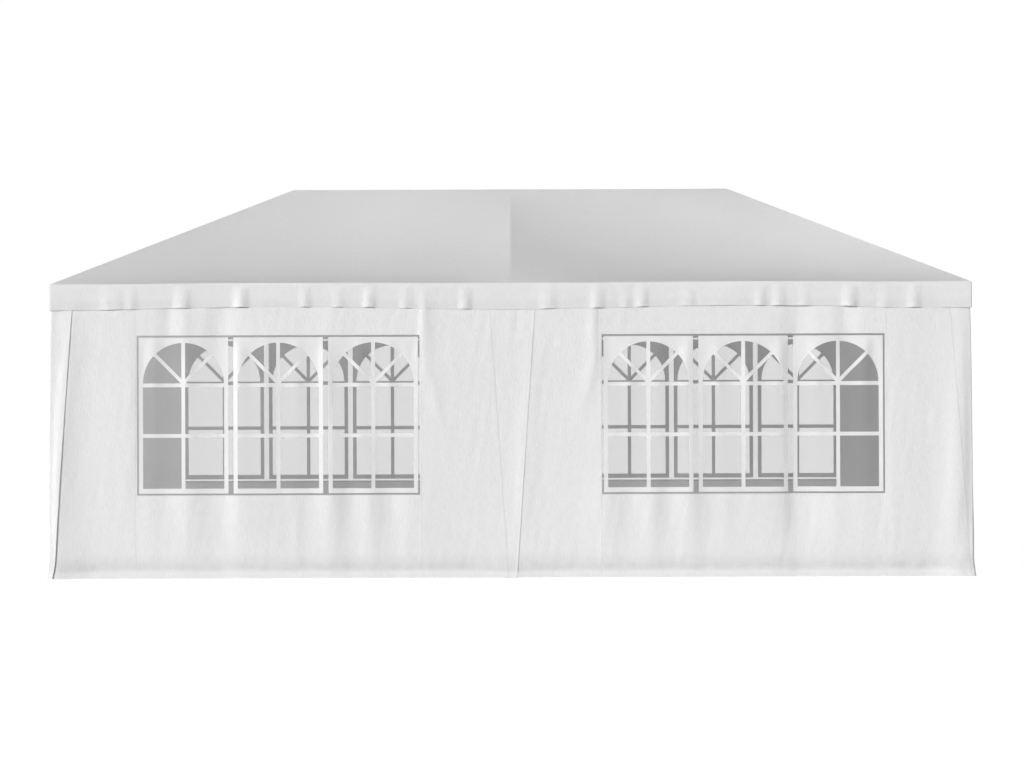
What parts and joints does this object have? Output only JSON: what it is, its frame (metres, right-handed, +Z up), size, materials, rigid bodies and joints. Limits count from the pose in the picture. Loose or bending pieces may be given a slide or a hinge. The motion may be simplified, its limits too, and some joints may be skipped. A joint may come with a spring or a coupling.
{
  "type": "marquee tent",
  "caption": "White rectangular party marquee: steel tube frame under a hipped fabric roof with a valance, closed by fabric walls with arched window panels and zipped end doors.",
  "frame": {"origin": "on the ground under the middle of the tent", "axes": "+X along the long sides towards the right as seen from the front, -Y out of the front, +Z up"},
  "size_m": [6.016, 3.016, 2.6],
  "materials": {
    "frame_steel": "white powder coat on steel tube, satin",
    "roof_fabric": "white coated woven polyethylene, matt",
    "wall_fabric": "white coated woven polyethylene, matt",
    "window_film": "clear flexible vinyl film"
  },
  "bodies": {
    "root": {"foot_front_left": "frame_steel", "leg_front_left": "frame_steel", "foot_front_middle": "frame_steel", "leg_front_middle": "frame_steel", "foot_front_right": "frame_steel", "leg_front_right": "frame_steel", "corner_joint_front_left": "frame_steel", "eave_rail_front_left": "frame_steel", "hip_rafter_front_left": "frame_steel", "corner_joint_front_right": "frame_steel", "eave_rail_front_right": "frame_steel", "hip_rafter_front_right": "frame_steel", "eave_joint_front": "frame_steel", "middle_rafter_front": "frame_steel", "foot_back_left": "frame_steel", "leg_back_left": "frame_steel", "foot_back_middle": "frame_steel", "leg_back_middle": "frame_steel", "foot_back_right": "frame_steel", "leg_back_right": "frame_steel", "corner_joint_back_left": "frame_steel", "eave_rail_back_left": "frame_steel", "hip_rafter_back_left": "frame_steel", "corner_joint_back_right": "frame_steel", "eave_rail_back_right": "frame_steel", "hip_rafter_back_right": "frame_steel", "eave_joint_back": "frame_steel", "middle_rafter_back": "frame_steel", "eave_rail_left": "frame_steel", "ridge_rail_left": "frame_steel", "ridge_joint_left": "frame_steel", "eave_rail_right": "frame_steel", "ridge_rail_right": "frame_steel", "ridge_joint_right": "frame_steel", "ridge_joint_middle": "frame_steel", "roof_cover": "roof_fabric", "wall_front_left": "wall_fabric", "leg_cover_front_left": "wall_fabric", "wall_front_right": "wall_fabric", "leg_cover_front_right": "wall_fabric", "leg_cover_front_middle": "wall_fabric", "wall_back_left": "wall_fabric", "leg_cover_back_left": "wall_fabric", "wall_back_right": "wall_fabric", "leg_cover_back_right": "wall_fabric", "leg_cover_back_middle": "wall_fabric", "wall_left": "wall_fabric", "door_left": "wall_fabric", "wall_right": "wall_fabric", "door_right": "wall_fabric", "window_front_left": "window_film", "window_front_right": "window_film", "window_back_left": "window_film", "window_back_right": "window_film"}
  },
  "joints": []
}
